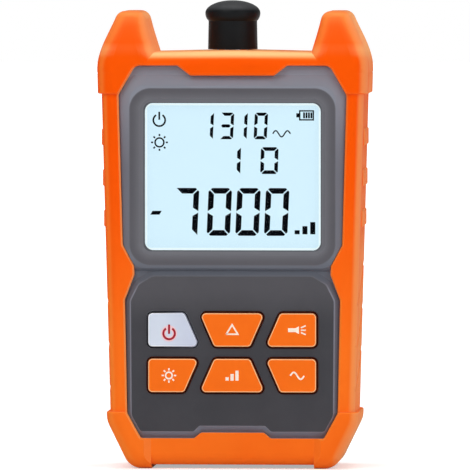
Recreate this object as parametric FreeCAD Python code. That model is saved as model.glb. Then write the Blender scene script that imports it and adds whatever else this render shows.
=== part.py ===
"""Handheld optical power meter: a two-part hard case in a moulded rubber boot.

The meter stands on the two feet of its boot. Millimetres, +Z up, +X to the right of the display,
the display faces -Y. The origin is on the floor, under the middle of the case.

The case (front_cover, back_cover) holds one circuit board with the liquid crystal display, its
backlight and six long-travel key switches. The fibre port stands in the top wall, on the split
plane of the case, and wears a rubber dust cap. Three AAA cells lie behind a door that tilts out
on two tabs.
"""

import FreeCAD, Part
import math
import os

from FreeCAD import Vector

# ---------------------------------------------------------------- driving sizes
# display, from the window outwards
WINDOW_WIDTH = 46.0
WINDOW_HEIGHT = 38.4
WINDOW_CORNER = 2.2
WINDOW_FRAME = 1.25
WINDOW_FRAME_DEPTH = 0.8
BEZEL_SIDE = 3.9
BEZEL_TOP = 4.45
BEZEL_BOTTOM = 4.6
BEZEL_CORNER = 3.9
BEVEL_SIDE = 2.85
BEVEL_TOP = 2.75

# keypad
KEY_HEIGHT = 9.1
KEY_ROW_GAP = 2.8
KEY_MIDDLE_HALF = 6.8
KEY_COLUMN_GAP = 3.6
KEY_SIDE_MARGIN = 4.4
KEY_SLANT = 0.44
KEY_CORNER = 1.3
KEY_PROUD = 0.9
KEY_EDGE_ROUND = 0.5
KEY_CLEARANCE = 0.3
KEY_TRAVEL = 0.8
KEY_REST_GAP = 0.1
KEY_FLANGE = 0.7
KEY_FLANGE_THICK = 0.6
PANEL_ABOVE_KEYS = 9.4
PANEL_BELOW_KEYS = 10.1

# face of the front cover
PANEL_INSET = 0.4
GROOVE = 2.1
BEVEL_PANEL = 1.6
PANEL_SIDE_GAP = 1.1
BEVEL_DISPLAY = 2.9
GROOVE_BEVEL = 0.9
PLATEAU_RISE = 1.3
PLATEAU_EDGE_ROUND = 0.3

# rubber boot
LIP_SIDE = 4.75
LIP_TOP = 5.75
LIP_BOTTOM = 7.0
LIP_THICK = 1.4
LIP_EDGE_ROUND = 0.4
LIP_CLEARANCE = 0.15
BOOT_WALL = 2.6
BOOT_EDGE_ROUND = 3.2
BOOT_TAPER = 2.45
BOOT_FIT = 0.05
CASE_LIFT = 0.65
CROWN = 0.8
NOTCH_RISE = 2.6
NOTCH_HALF = 10.9
PANEL_NOTCH_HALF = 8.6
PANEL_NOTCH_RISE = 1.5
WAIST = 3.05
BUMPER_PROUD = 1.0
BUMPER_EDGE_ROUND = 0.4
HORN_RISE = 11.0
HORN_TIP_WIDTH = 6.95
HORN_MIDDLE_WIDER = 4.55
HORN_KNEE_WIDER = 3.6
HORN_BASE_WIDER = 1.45
HORN_KNEE_THINNER = 0.4
HORN_MIDDLE_THINNER = 2.7
HORN_TIP_THINNER = 7.8
HORN_KNEE_IN = 0.45
HORN_MIDDLE_IN = 2.45
HORN_TIP_IN = 5.4
HORN_TIP_FLAT = 0.35
HORN_TIP_CREST = 1.55
CROWN_RADIUS = 150.0
SKIRT_HEIGHT = 10.55
FOOT_HEIGHT = 14.9
FOOT_WIDTH = 11.8
FOOT_SIDE_SLOPE = 1.8
FOOT_SLOPE_WIDTH = 5.8
FOOT_SLOPE_HEIGHT = 11.7

# side grips of the boot
GRIP_PITCH = 10.6
GRIP_COUNT = 3
PAD_LOWEST = 65.3
PAD_RISE = 0.4
PAD_LENGTH = 4.4
PAD_HALF_DEPTH = 10.5
GRIP_GROOVE_LOWEST = 22.4
GRIP_GROOVE_PITCH = 11.2
GRIP_GROOVE_DEPTH = 0.5
GRIP_GROOVE_RADIUS = 1.0
GRIP_GROOVE_DROP = 22.0

# case
CASE_DEPTH = 26.4
SHELL_WALL = 1.8
CASE_EDGE_ROUND = 1.0
TONGUE_HEIGHT = 1.4
TONGUE_THICK = 0.8
TONGUE_CLEARANCE = 0.1
POST_RADIUS = 2.4
WELL_WALL = 1.1
PILOT_RADIUS = 0.8
PILOT_DEPTH = 4.2
SCREW_CLEARANCE = 0.2
SCREW_HEAD_RADIUS = 1.9
SCREW_HEAD_HEIGHT = 1.4
SCREW_GRIP = 2.0
TOP_POST_IN = 10.7
TOP_POST_DOWN = 8.65
LOW_POST_IN = 11.6
LOW_POST_UP = 3.6
MIDDLE_POST_IN = 0.3
MIDDLE_POST_DOWN = 3.3

# display stack and circuit board
WINDOW_RECESS = 1.0
LENS_THICK = 1.2
LENS_MARGIN = 1.2
LENS_CLEARANCE = 0.1
GASKET_THICK = 0.6
LCD_THICK = 2.0
BACKLIGHT_THICK = 3.3
STRIP_HEIGHT = 2.2
STRIP_WIDTH = 40.0
BOARD_THICK = 1.6
BOARD_GAP = 0.6
BOARD_NOTCH_HALF = 9.0
BOARD_NOTCH_DEPTH = 8.0
SWITCH_SIZE = 6.0
SWITCH_HEIGHT = 3.2
PLUNGER_RADIUS = 1.6
PLUNGER_CLEARANCE = 0.08
PLUNGER_LENGTH = 2.4
CHIP_HEIGHT = 1.2
PROCESSOR_SIZE = 9.0
PROCESSOR_RISE = 5.5
AMPLIFIER_SIZE = 6.0
AMPLIFIER_DROP = 13.8
AMPLIFIER_X = -9.0

# fibre port and dust cap
PORT_X = -0.8
PORT_BEHIND_BOARD = 5.8
FERRULE_RADIUS = 1.26
FERRULE_LEAD = 0.5
BARREL_RADIUS = 4.0
BARREL_HEIGHT = 8.25
BARREL_CHAMFER = 0.4
PORT_FLANGE_RADIUS = 6.8
PORT_FLANGE_THICK = 1.5
PORT_BOSS_HALF = 8.4
PORT_BOSS_THICK = 1.0
PORT_HOLE_CLEARANCE = 0.05
SPIGOT_RADIUS = 3.6
SPIGOT_LENGTH = 6.0
NUT_ACROSS_FLATS = 10.0
NUT_THICK = 1.6
BOOT_HOLE_RADIUS = 6.0
CAN_RADIUS = 2.35
CAN_LENGTH = 3.6
CAN_BASE_RADIUS = 2.7
CAN_BASE_THICK = 0.4
CAN_WINDOW_GAP = 0.3
HOLDER_RADIUS = 5.0
HOLDER_OVERLAP = 4.0
DETECTOR_BOARD_THICK = 1.0
CAP_RADIUS = 6.5
CAP_NECK_RADIUS = 6.35
CAP_HEAD_RADIUS = 7.2
CAP_SHANK = 7.4
CAP_HEAD_RISE = 5.4
CAP_BRIM = 2.1
CAP_POLE_FLAT = 0.7
CAP_FIT = 0.1
CAP_SEAT = 0.1
CAP_END_GAP = 0.4

# torch lamp beside the port
TORCH_X = 13.2
TORCH_RADIUS = 2.5
TORCH_RIM_RADIUS = 2.9
TORCH_RIM_THICK = 1.0
TORCH_HOLE_CLEARANCE = 0.05
TORCH_LEAD_SIZE = 0.5
TORCH_LEAD_PITCH = 2.54

# battery bay and door
CELL_RADIUS = 5.25
CELL_LENGTH = 44.5
CELL_BUTTON_RADIUS = 1.9
CELL_BUTTON = 0.9
CELL_GAP = 0.2
CELL_COUNT = 3
LEAF_REACH = 2.5
LEAF_WIDTH = 6.0
LEAF_THICK = 0.3
CONTACT_THICK = 0.4
CONTACT_WIDTH = 8.4
BAY_WALL = 1.2
BAY_BOTTOM = 23.5
DOOR_THICK = 1.9
DOOR_SEAT = 0.1
DOOR_MARGIN = 2.8
DOOR_CLEARANCE = 0.3
DOOR_CORNER = 1.5
DOOR_TAB_WIDTH = 5.0
DOOR_TAB_X = 10.0
DOOR_TAB_THICK = 0.9
DOOR_TAB_REACH = 2.2
DOOR_TAB_GAP = 0.15
DOOR_TOE_CHAMFER = 0.8
DOOR_HEEL = 3.1
DOOR_GRIP_COUNT = 4
DOOR_GRIP_PITCH = 1.8
DOOR_GRIP_DEPTH = 0.4
DOOR_GRIP_HALF = 6.0
BACK_RISE = 1.2
BACK_MARGIN_SIDE = 8.2
BACK_MARGIN_END = 11.0
BACK_CORNER = 6.0

# ---------------------------------------------------------------- sizes that follow
CASE_FRONT = -CASE_DEPTH / 2
CASE_BACK = CASE_DEPTH / 2
BOOT_FRONT = CASE_FRONT - LIP_THICK
BOOT_BACK = CASE_BACK + LIP_THICK
PLATEAU = CASE_FRONT - PLATEAU_RISE
CEILING = CASE_FRONT + SHELL_WALL
BACK_FACE = CASE_BACK + BACK_RISE
BACK_CEILING = CASE_BACK - SHELL_WALL

# half widths of the face and of the boot
FACE_HALF = WINDOW_WIDTH / 2 + BEZEL_SIDE
OPENING_HALF = FACE_HALF + BEVEL_SIDE
BOOT_HALF = OPENING_HALF + LIP_SIDE
BOOT_LOW_HALF = BOOT_HALF - BOOT_TAPER
PANEL_HALF = FACE_HALF - PANEL_INSET
KEY_INNER = KEY_MIDDLE_HALF + KEY_COLUMN_GAP
KEY_OUTER = PANEL_HALF - KEY_SIDE_MARGIN

# heights, from the floor up
FOOT_RISE = BUMPER_PROUD
OPENING_BOTTOM = FOOT_RISE + LIP_BOTTOM
PANEL_BOTTOM = OPENING_BOTTOM + BEVEL_PANEL + 0.2
ROW_LOW = PANEL_BOTTOM + PANEL_BELOW_KEYS + KEY_HEIGHT / 2
ROW_HIGH = ROW_LOW + KEY_HEIGHT + KEY_ROW_GAP
PANEL_TOP = ROW_HIGH + KEY_HEIGHT / 2 + PANEL_ABOVE_KEYS
FACE_BOTTOM = PANEL_TOP + GROOVE
WINDOW_BOTTOM = FACE_BOTTOM + BEZEL_BOTTOM
WINDOW_TOP = WINDOW_BOTTOM + WINDOW_HEIGHT
FACE_TOP = WINDOW_TOP + BEZEL_TOP
NOTCH_TOP = FACE_TOP + BEVEL_TOP
OPENING_TOP = NOTCH_TOP + NOTCH_RISE
SHOULDER = NOTCH_TOP + LIP_TOP
CROWN_TOP = SHOULDER + CROWN
HORN_TOP = SHOULDER + HORN_RISE
CASE_TOP = CROWN_TOP - BUMPER_PROUD + CASE_LIFT - BOOT_WALL
INNER_TOP = CASE_TOP - SHELL_WALL

# depths of the display stack
LENS_FRONT = PLATEAU + WINDOW_RECESS
LENS_BACK = LENS_FRONT + LENS_THICK
LCD_FRONT = LENS_BACK + GASKET_THICK
LCD_BACK = LCD_FRONT + LCD_THICK
BOARD_FRONT = LCD_BACK + BACKLIGHT_THICK
BOARD_BACK = BOARD_FRONT + BOARD_THICK
PORT_Y = BOARD_BACK + PORT_BEHIND_BOARD
SPLIT = PORT_Y
LENS_HALF = WINDOW_WIDTH / 2 + LENS_MARGIN
LENS_LOW = WINDOW_BOTTOM - LENS_MARGIN
LENS_HIGH = WINDOW_TOP + LENS_MARGIN

# screw posts, as (half spacing, height)
TOP_POST = (BOOT_HALF - TOP_POST_IN, SHOULDER - TOP_POST_DOWN)
LOW_POST = (BOOT_LOW_HALF - LOW_POST_IN, OPENING_BOTTOM + LOW_POST_UP)
MIDDLE_POST = (PANEL_HALF - MIDDLE_POST_IN, PANEL_TOP - MIDDLE_POST_DOWN)

# keys at rest
KEY_FRONT = PLATEAU - KEY_PROUD
FLANGE_FRONT = CEILING + KEY_REST_GAP
FLANGE_BACK = FLANGE_FRONT + KEY_FLANGE_THICK
SWITCH_FRONT = BOARD_FRONT - SWITCH_HEIGHT

# fibre port, from the top wall down and up
PORT_SEAT = INNER_TOP - PORT_BOSS_THICK
NUT_BOTTOM = CASE_TOP + 0.02
BARREL_TOP = CROWN_TOP + BARREL_HEIGHT
SPIGOT_BOTTOM = PORT_SEAT - PORT_FLANGE_THICK - SPIGOT_LENGTH
CAN_TOP = SPIGOT_BOTTOM - CAN_WINDOW_GAP
CAN_BOTTOM = CAN_TOP - CAN_LENGTH - CAN_BASE_THICK
CAP_BOTTOM = CROWN_TOP + CAP_SEAT
CAP_TOP = CAP_BOTTOM + CAP_SHANK + CAP_HEAD_RISE

# battery bay
DOOR_INNER = BACK_FACE - DOOR_THICK
CELL_Y = DOOR_INNER - CELL_GAP - CELL_RADIUS
CELL_PITCH = 2 * CELL_RADIUS + CELL_GAP
BAY_FLOOR = CELL_Y - CELL_RADIUS - CELL_GAP / 2
BAY_HALF = CELL_PITCH * CELL_COUNT / 2
BAY_TOP = BAY_BOTTOM + 2 * CONTACT_THICK + LEAF_REACH + CELL_LENGTH
DOOR_HALF = BAY_HALF + DOOR_MARGIN - DOOR_CLEARANCE
DOOR_BOTTOM = BAY_BOTTOM - DOOR_HEEL
DOOR_TOP = BAY_TOP + DOOR_MARGIN - DOOR_CLEARANCE


# ---------------------------------------------------------------- small geometry helpers
def mirror_loop(right):
    """Closed counter-clockwise loop of (x, z, radius) corners from its right half, bottom first."""
    return right + [(-x, z, r) for x, z, r in reversed(right)]


def moved(corners, distance):
    """The same loop with every side moved outwards by distance; its corner radii follow."""
    count = len(corners)
    result = []
    for i, (x, z, radius) in enumerate(corners):
        x0, z0, _ = corners[i - 1]
        x1, z1, _ = corners[(i + 1) % count]
        before = Vector(z - z0, x0 - x, 0).normalize()
        after = Vector(z1 - z, x - x1, 0).normalize()
        shift = (before + after) * (distance / (1 + before.dot(after)))
        convex = before.cross(after).z > 0
        new_radius = radius + distance if convex else radius - distance
        result.append((x + shift.x, z + shift.y, max(new_radius, 0.3)))
    return result


def rounded_wire(corners, y):
    """Closed wire at depth y through (x, z, radius) corners, each rounded by an arc."""
    count = len(corners)
    spans = []
    for i, (x, z, radius) in enumerate(corners):
        here = Vector(x, y, z)
        before = Vector(corners[i - 1][0], y, corners[i - 1][1]) - here
        after = Vector(corners[(i + 1) % count][0], y, corners[(i + 1) % count][1]) - here
        before.normalize()
        after.normalize()
        half = before.getAngle(after) / 2
        tangent = radius / math.tan(half)
        bisector = (before + after).normalize()
        middle = here + bisector * (radius / math.sin(half) - radius)
        spans.append((here + before * tangent, middle, here + after * tangent))
    edges = []
    for i, (start, middle, end) in enumerate(spans):
        edges.append(Part.Arc(start, middle, end).toShape())
        following = spans[(i + 1) % count][0]
        edges.append(Part.LineSegment(end, following).toShape())
    return Part.Wire(edges)


def plate(corners, y_from, y_to):
    """Solid of a rounded outline between two depths."""
    face = Part.Face(rounded_wire(corners, y_from))
    return face.extrude(Vector(0, y_to - y_from, 0))


def bevelled(low, high, y_low, y_high):
    """Solid with sloping sides between two outlines that have as many corners."""
    return Part.makeLoft([rounded_wire(low, y_low), rounded_wire(high, y_high)], True, True)


def rectangle(half_x, z_low, z_high, radius, x=0.0):
    return [
        (x + half_x, z_low, radius),
        (x + half_x, z_high, radius),
        (x - half_x, z_high, radius),
        (x - half_x, z_low, radius),
    ]


def box(x_low, x_high, y_low, y_high, z_low, z_high):
    corner = Vector(x_low, y_low, z_low)
    return Part.makeBox(x_high - x_low, y_high - y_low, z_high - z_low, corner)


def rod(radius, x, z, y_from, y_to):
    """Cylinder along the depth."""
    return Part.makeCylinder(radius, y_to - y_from, Vector(x, y_from, z), Vector(0, 1, 0))


def pillar(radius, x, y, z_from, z_to):
    """Upright cylinder."""
    return Part.makeCylinder(radius, z_to - z_from, Vector(x, y, z_from))


def turned(profile, x, y):
    """Solid of revolution about the upright axis through (x, y) of a closed (radius, z) loop."""
    points = [Vector(x + r, y, z) for r, z in profile]
    face = Part.Face(Part.makePolygon(points + points[:1]))
    return face.revolve(Vector(x, y, 0), Vector(0, 0, 1), 360)


def edges_at_depth(shape, y):
    """Edges that lie wholly in the plane at depth y."""
    return [e for e in shape.Edges if e.BoundBox.YMin > y - 1e-4 and e.BoundBox.YMax < y + 1e-4]


def edges_at_height(shape, z):
    """Edges that lie wholly in the plane at height z."""
    return [e for e in shape.Edges if e.BoundBox.ZMin > z - 1e-4 and e.BoundBox.ZMax < z + 1e-4]


def joined(first, *others):
    return first.fuse(list(others)).removeSplitter()


def mirrored(shape):
    """Mirror image in the middle plane."""
    return shape.mirror(Vector(0, 0, 0), Vector(1, 0, 0))


def both_sides(shape):
    return [shape, mirrored(shape)]


# ---------------------------------------------------------------- outlines
def boot_half_at(z):
    """Half width of the boot's side wall at height z."""
    return BOOT_LOW_HALF + BOOT_TAPER * (z - FOOT_HEIGHT) / (OPENING_TOP - FOOT_HEIGHT)


def boot_outline(lift=0.0):
    """Outer outline of the boot without its bumpers: tapered sides, sloped heels, crowned top.

    lift raises the top, for the case, over which the boot is thinner than at its sides.
    """
    heel = FOOT_RISE + FOOT_SLOPE_HEIGHT
    right = [
        (BOOT_LOW_HALF - FOOT_SLOPE_WIDTH, FOOT_RISE, 4.0),
        (boot_half_at(heel), heel, 5.4),
        (boot_half_at(SHOULDER), SHOULDER - BUMPER_PROUD + lift, 5.0),
    ]
    crown = (0.0, CROWN_TOP - BUMPER_PROUD + lift, CROWN_RADIUS)
    return right + [crown] + [(-x, z, r) for x, z, r in reversed(right)]


def case_outline(inset=0.0):
    """Outer outline of the hard case, moved inwards by inset."""
    return moved(boot_outline(CASE_LIFT), -BOOT_WALL - inset)


def panel_outline():
    """Raised key panel of the front cover."""
    return mirror_loop([
        (PANEL_NOTCH_HALF, PANEL_BOTTOM + PANEL_NOTCH_RISE, 0.8),
        (PANEL_NOTCH_HALF + PANEL_NOTCH_RISE, PANEL_BOTTOM, 0.8),
        (PANEL_HALF - 2.5, PANEL_BOTTOM, 1.0),
        (PANEL_HALF - 0.2, PANEL_BOTTOM + 4.2, 2.0),
        (PANEL_HALF, PANEL_TOP - 6.4, 2.0),
        (PANEL_HALF - 2.1, PANEL_TOP - 2.2, 1.6),
        (PANEL_HALF - 5.7, PANEL_TOP, 1.6),
    ])


def opening_outline():
    """Front opening of the boot: notched top and bottom, drawn in at the waist."""
    low_half = PANEL_HALF + PANEL_SIDE_GAP
    waist_half = OPENING_HALF - 1.1 - WAIST
    return mirror_loop([
        (PANEL_NOTCH_HALF - 0.4, OPENING_BOTTOM + PANEL_NOTCH_RISE, 0.8),
        (PANEL_NOTCH_HALF + 1.4, OPENING_BOTTOM, 0.8),
        (low_half - 3.7, OPENING_BOTTOM, 0.8),
        (low_half - 0.1, OPENING_BOTTOM + 6.6, 1.6),
        (low_half + 0.5, PANEL_TOP - 6.2, 1.6),
        (waist_half, PANEL_TOP + 0.4, 1.4),
        (waist_half + 0.1, FACE_BOTTOM + 0.6, 1.4),
        (OPENING_HALF - 1.1, FACE_BOTTOM + 6.0, 1.6),
        (OPENING_HALF, OPENING_TOP - 7.6, 2.0),
        (OPENING_HALF - 4.4, OPENING_TOP, 2.2),
        (NOTCH_HALF + 3.4, OPENING_TOP, 0.8),
        (NOTCH_HALF, NOTCH_TOP, 0.8),
    ])


def back_outline():
    """Opening in the back of the boot."""
    case_half = boot_half_at((FOOT_HEIGHT + OPENING_TOP) / 2) - BOOT_WALL / 2
    half = case_half - BACK_MARGIN_SIDE
    low = FOOT_RISE + BACK_MARGIN_END
    return rectangle(half, low, SHOULDER - BACK_MARGIN_END, BACK_CORNER)


def middle_key(slant):
    """Key of the middle column; a positive slant makes it wider at the top."""
    return slanted_key(-KEY_MIDDLE_HALF, KEY_MIDDLE_HALF, -slant, slant)


def slanted_key(x_left, x_right, lean_left, lean_right):
    """Key outline about height 0 whose left and right sides lean by their own slopes."""
    half = KEY_HEIGHT / 2
    return [
        (x_right - lean_right * half, -half, KEY_CORNER),
        (x_right + lean_right * half, half, KEY_CORNER),
        (x_left + lean_left * half, half, KEY_CORNER),
        (x_left - lean_left * half, -half, KEY_CORNER),
    ]


def at_height(corners, z):
    return [(x, z + dz, r) for x, dz, r in corners]


KEYS = {
    "power": (ROW_HIGH, slanted_key(-KEY_OUTER, -KEY_INNER, 0.0, -KEY_SLANT)),
    "ref": (ROW_HIGH, middle_key(KEY_SLANT)),
    "torch": (ROW_HIGH, slanted_key(KEY_INNER, KEY_OUTER, KEY_SLANT, 0.0)),
    "light": (ROW_LOW, slanted_key(-KEY_OUTER, -KEY_INNER, 0.0, KEY_SLANT)),
    "db": (ROW_LOW, middle_key(-KEY_SLANT)),
    "wavelength": (ROW_LOW, slanted_key(KEY_INNER, KEY_OUTER, -KEY_SLANT, 0.0)),
}


def key_outline(name):
    row, corners = KEYS[name]
    return at_height(corners, row)


def key_centre(name):
    row, corners = KEYS[name]
    return sum(x for x, _, _ in corners) / len(corners), row


# ---------------------------------------------------------------- rubber boot
def rounded_prism(corners, y_from, y_to, radius):
    """Plate whose front and back rims are rounded."""
    solid = plate(corners, y_from, y_to)
    rims = edges_at_depth(solid, y_from) + edges_at_depth(solid, y_to)
    return solid.makeFillet(radius, rims)


def horn():
    """Right-hand tower on the shoulder of the boot, narrower and thinner towards its tip."""
    outer = boot_half_at(SHOULDER) + BUMPER_PROUD
    full_depth = 2 * (BOOT_BACK + BUMPER_PROUD)
    corner = BOOT_EDGE_ROUND + BUMPER_PROUD
    tip_corner = (HORN_TIP_WIDTH - HORN_TIP_FLAT) / 2
    tip_round = (HORN_TIP_WIDTH - HORN_TIP_CREST) / 2
    middle_width = HORN_TIP_WIDTH + HORN_MIDDLE_WIDER
    knee_width = middle_width + HORN_KNEE_WIDER
    base_width = knee_width + HORN_BASE_WIDER
    sections = []
    for z, width, depth, shift, radius in (
        (SHOULDER - 5.0, base_width, full_depth - 0.04, 0.1, corner),
        (SHOULDER - 1.0, knee_width, full_depth - HORN_KNEE_THINNER, HORN_KNEE_IN, corner),
        (SHOULDER + 4.4, middle_width, full_depth - HORN_MIDDLE_THINNER, HORN_MIDDLE_IN, corner),
        (HORN_TOP, HORN_TIP_WIDTH, full_depth - HORN_TIP_THINNER, HORN_TIP_IN, tip_corner),
    ):
        x = outer - shift - width / 2
        wire = rounded_wire(rectangle(width / 2, -depth / 2, depth / 2, radius, x), 0.0)
        wire.rotate(Vector(0, 0, 0), Vector(1, 0, 0), 90)
        wire.translate(Vector(0, 0, z))
        sections.append(wire)
    tower = Part.makeLoft(sections, True, False)
    return tower.makeFillet(tip_round, edges_at_height(tower, HORN_TOP))


def foot_block():
    """Space of the right foot, whose inner side slopes into the skin at the front and the back."""
    inner = BOOT_LOW_HALF + BUMPER_PROUD - FOOT_WIDTH
    slope = 2 * FOOT_SIDE_SLOPE
    far = BOOT_HALF + 10
    points = [
        Vector(inner, BOOT_FRONT, -1.0),
        Vector(inner + slope, BOOT_FRONT - 2 * BUMPER_PROUD, -1.0),
        Vector(far, BOOT_FRONT - 2 * BUMPER_PROUD, -1.0),
        Vector(far, BOOT_BACK + 2 * BUMPER_PROUD, -1.0),
        Vector(inner + slope, BOOT_BACK + 2 * BUMPER_PROUD, -1.0),
        Vector(inner, BOOT_BACK, -1.0),
    ]
    face = Part.Face(Part.makePolygon(points + points[:1]))
    return face.extrude(Vector(0, 0, FOOT_HEIGHT + 1.0))


def bumpers():
    """Thicker skin over the shoulders and over each foot, ending in rounded ledges."""
    skin = rounded_prism(
        moved(boot_outline(), BUMPER_PROUD),
        BOOT_FRONT - BUMPER_PROUD,
        BOOT_BACK + BUMPER_PROUD,
        BOOT_EDGE_ROUND + BUMPER_PROUD,
    )
    far = BOOT_HALF + 10
    ledge = SHOULDER - SKIRT_HEIGHT
    shoulder = skin.common(box(-far, far, -far, far, ledge, HORN_TOP))
    shoulder = shoulder.makeFillet(BUMPER_EDGE_ROUND, edges_at_height(shoulder, ledge))
    foot = skin.common(foot_block())
    foot = foot.makeFillet(BUMPER_EDGE_ROUND, edges_at_height(foot, FOOT_HEIGHT))
    return [shoulder] + both_sides(foot)


def lip_rounding():
    """Cutters that bevel the edge of the front opening, on the skin and on the bumpers."""
    wide = moved(opening_outline(), LIP_EDGE_ROUND)
    cutters = []
    for surface in (BOOT_FRONT, BOOT_FRONT - BUMPER_PROUD):
        cutters.append(bevelled(opening_outline(), wide, surface + LIP_EDGE_ROUND, surface))
    between_ledges = box(-60, 60, -60, 60, FOOT_HEIGHT, SHOULDER - SKIRT_HEIGHT)
    return [cutters[0].common(between_ledges), cutters[1]]


def grip_pads():
    """Raised bars on the upper part of each side wall."""
    pads = []
    for i in range(GRIP_COUNT):
        z = PAD_LOWEST + i * GRIP_PITCH
        x = boot_half_at(z)
        half = PAD_LENGTH / 2
        pad = box(x - 1.5, x + PAD_RISE, -PAD_HALF_DEPTH, PAD_HALF_DEPTH, z - half, z + half)
        outer = [e for e in pad.Edges if e.BoundBox.XMin > x + PAD_RISE - 1e-4]
        pad = pad.makeChamfer(PAD_RISE * 0.7, outer)
        pads += both_sides(pad)
    return pads


def grip_grooves():
    """Finger grooves on the lower part of each side wall, falling towards the front."""
    grooves = []
    direction = Vector(0, 1, math.tan(math.radians(GRIP_GROOVE_DROP)))
    length = 4 * BOOT_BACK
    for i in range(GRIP_COUNT):
        z = GRIP_GROOVE_LOWEST + i * GRIP_GROOVE_PITCH
        x = boot_half_at(z) + GRIP_GROOVE_RADIUS - GRIP_GROOVE_DEPTH
        middle = Vector(x, 0, z + math.tan(math.radians(GRIP_GROOVE_DROP)) * abs(BOOT_FRONT) * 0.6)
        start = middle - Vector(direction).normalize() * (length / 2)
        groove = Part.makeCylinder(GRIP_GROOVE_RADIUS, length, start, direction)
        grooves += both_sides(groove)
    return grooves


def case_solid(grow=0.0):
    """Whole case as one block, without its raised faces; grow moves every side outwards."""
    return rounded_prism(
        case_outline(-grow), CASE_FRONT - grow, CASE_BACK + grow, CASE_EDGE_ROUND
    )


def protective_boot():
    body = rounded_prism(boot_outline(), BOOT_FRONT, BOOT_BACK, BOOT_EDGE_ROUND)
    body = body.fuse(bumpers() + both_sides(horn()) + grip_pads())
    cuts = [case_solid(BOOT_FIT)]
    cuts.append(plate(opening_outline(), BOOT_FRONT - 5, 0.0))
    cuts.append(plate(back_outline(), 0.0, BOOT_BACK + 5))
    cuts.append(pillar(BOOT_HOLE_RADIUS, PORT_X, PORT_Y, CASE_TOP - 5, CROWN_TOP + 5))
    cuts.append(pillar(TORCH_RIM_RADIUS, TORCH_X, PORT_Y, CASE_TOP - 5, CROWN_TOP + 5))
    cuts += lip_rounding() + grip_grooves()
    for cutter in cuts:
        body = body.cut(cutter)
    return body


# ---------------------------------------------------------------- covers
def raised_face():
    """Display surround and key panel, raised from the cover and bevelled all round."""
    display = rectangle(FACE_HALF, FACE_BOTTOM, FACE_TOP, BEZEL_CORNER)
    display_base = rectangle(
        FACE_HALF + BEVEL_DISPLAY,
        FACE_BOTTOM - GROOVE_BEVEL,
        FACE_TOP + BEVEL_DISPLAY,
        BEZEL_CORNER + 1.5,
    )
    solids = []
    for low, high in ((display_base, display), (moved(panel_outline(), BEVEL_PANEL), panel_outline())):
        solid = bevelled(low, high, CASE_FRONT, PLATEAU)
        solids.append(solid.makeFillet(PLATEAU_EDGE_ROUND, edges_at_depth(solid, PLATEAU)))
    inside_lip = plate(moved(opening_outline(), -LIP_CLEARANCE), PLATEAU - 1, CASE_FRONT)
    return [solid.common(inside_lip) for solid in solids]


def seam_ring(y_from, y_to, outer_inset, inner_inset):
    """Ring that follows the seam of the two covers."""
    return plate(case_outline(outer_inset), y_from, y_to).cut(
        plate(case_outline(inner_inset), y_from - 1, y_to + 1)
    )


def port_boss(y_from, y_to):
    """Flat seat under the top wall for the flange of the port."""
    half = PORT_BOSS_HALF
    return box(PORT_X - half, PORT_X + half, y_from, y_to, PORT_SEAT, INNER_TOP + 0.8)


def wall_holes():
    """Holes through the top wall for the port and the torch lamp."""
    return [
        pillar(BARREL_RADIUS + PORT_HOLE_CLEARANCE, PORT_X, PORT_Y, PORT_SEAT - 1, CASE_TOP + 2),
        pillar(TORCH_RADIUS + TORCH_HOLE_CLEARANCE, TORCH_X, PORT_Y, INNER_TOP - 4, CASE_TOP + 2),
    ]


def post_places(*posts):
    return [(side * x, z) for x, z in posts for side in (1, -1)]


def front_cover():
    shell = case_solid().common(box(-60, 60, CASE_FRONT - 1, SPLIT, -10, 200))
    shell = shell.cut(plate(case_outline(SHELL_WALL), CEILING, SPLIT + 1))
    additions = raised_face()
    additions.append(port_boss(CEILING - 0.5, SPLIT))
    for x, z in post_places(TOP_POST, LOW_POST, MIDDLE_POST):
        additions.append(rod(POST_RADIUS, x, z, CEILING - 0.5, BOARD_FRONT))
    shell = shell.fuse(additions)

    clear = LENS_CLEARANCE
    window = rectangle(WINDOW_WIDTH / 2, WINDOW_BOTTOM, WINDOW_TOP, WINDOW_CORNER)
    frame_base = PLATEAU + WINDOW_FRAME_DEPTH
    pocket = rectangle(LENS_HALF + clear, LENS_LOW - clear, LENS_HIGH + clear, 1.0)
    cuts = [
        plate(window, PLATEAU - 1, CEILING + 1),
        bevelled(window, moved(window, WINDOW_FRAME), frame_base, PLATEAU),
        plate(pocket, LENS_FRONT, CEILING + 1),
        seam_ring(SPLIT - TONGUE_HEIGHT - TONGUE_CLEARANCE, SPLIT + 1,
                  SHELL_WALL - TONGUE_THICK - TONGUE_CLEARANCE, SHELL_WALL + TONGUE_CLEARANCE),
    ]
    for name in KEYS:
        cuts.append(plate(moved(key_outline(name), KEY_CLEARANCE), PLATEAU - 1, CEILING + 1))
    for x, z in post_places(TOP_POST, LOW_POST, MIDDLE_POST):
        cuts.append(rod(PILOT_RADIUS, x, z, BOARD_FRONT - PILOT_DEPTH, BOARD_FRONT + 1))
    return shell.cut(cuts + wall_holes()).removeSplitter()


def door_recess():
    """Shallow recess that takes the battery door, and the slots for its two tabs."""
    clear = DOOR_CLEARANCE
    recess = plate(
        rectangle(DOOR_HALF + clear, DOOR_BOTTOM - clear, DOOR_TOP + clear, DOOR_CORNER),
        DOOR_INNER, BACK_FACE + 5,
    )
    slots = []
    for side in (1, -1):
        x = side * DOOR_TAB_X
        half = DOOR_TAB_WIDTH / 2 + clear
        low = DOOR_BOTTOM - DOOR_TAB_REACH - clear
        slots.append(box(
            x - half, x + half,
            BACK_CEILING - 1, DOOR_INNER + DOOR_SEAT + DOOR_TAB_THICK + DOOR_TAB_GAP,
            low, DOOR_BOTTOM + clear,
        ))
    return [recess] + slots


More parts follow.
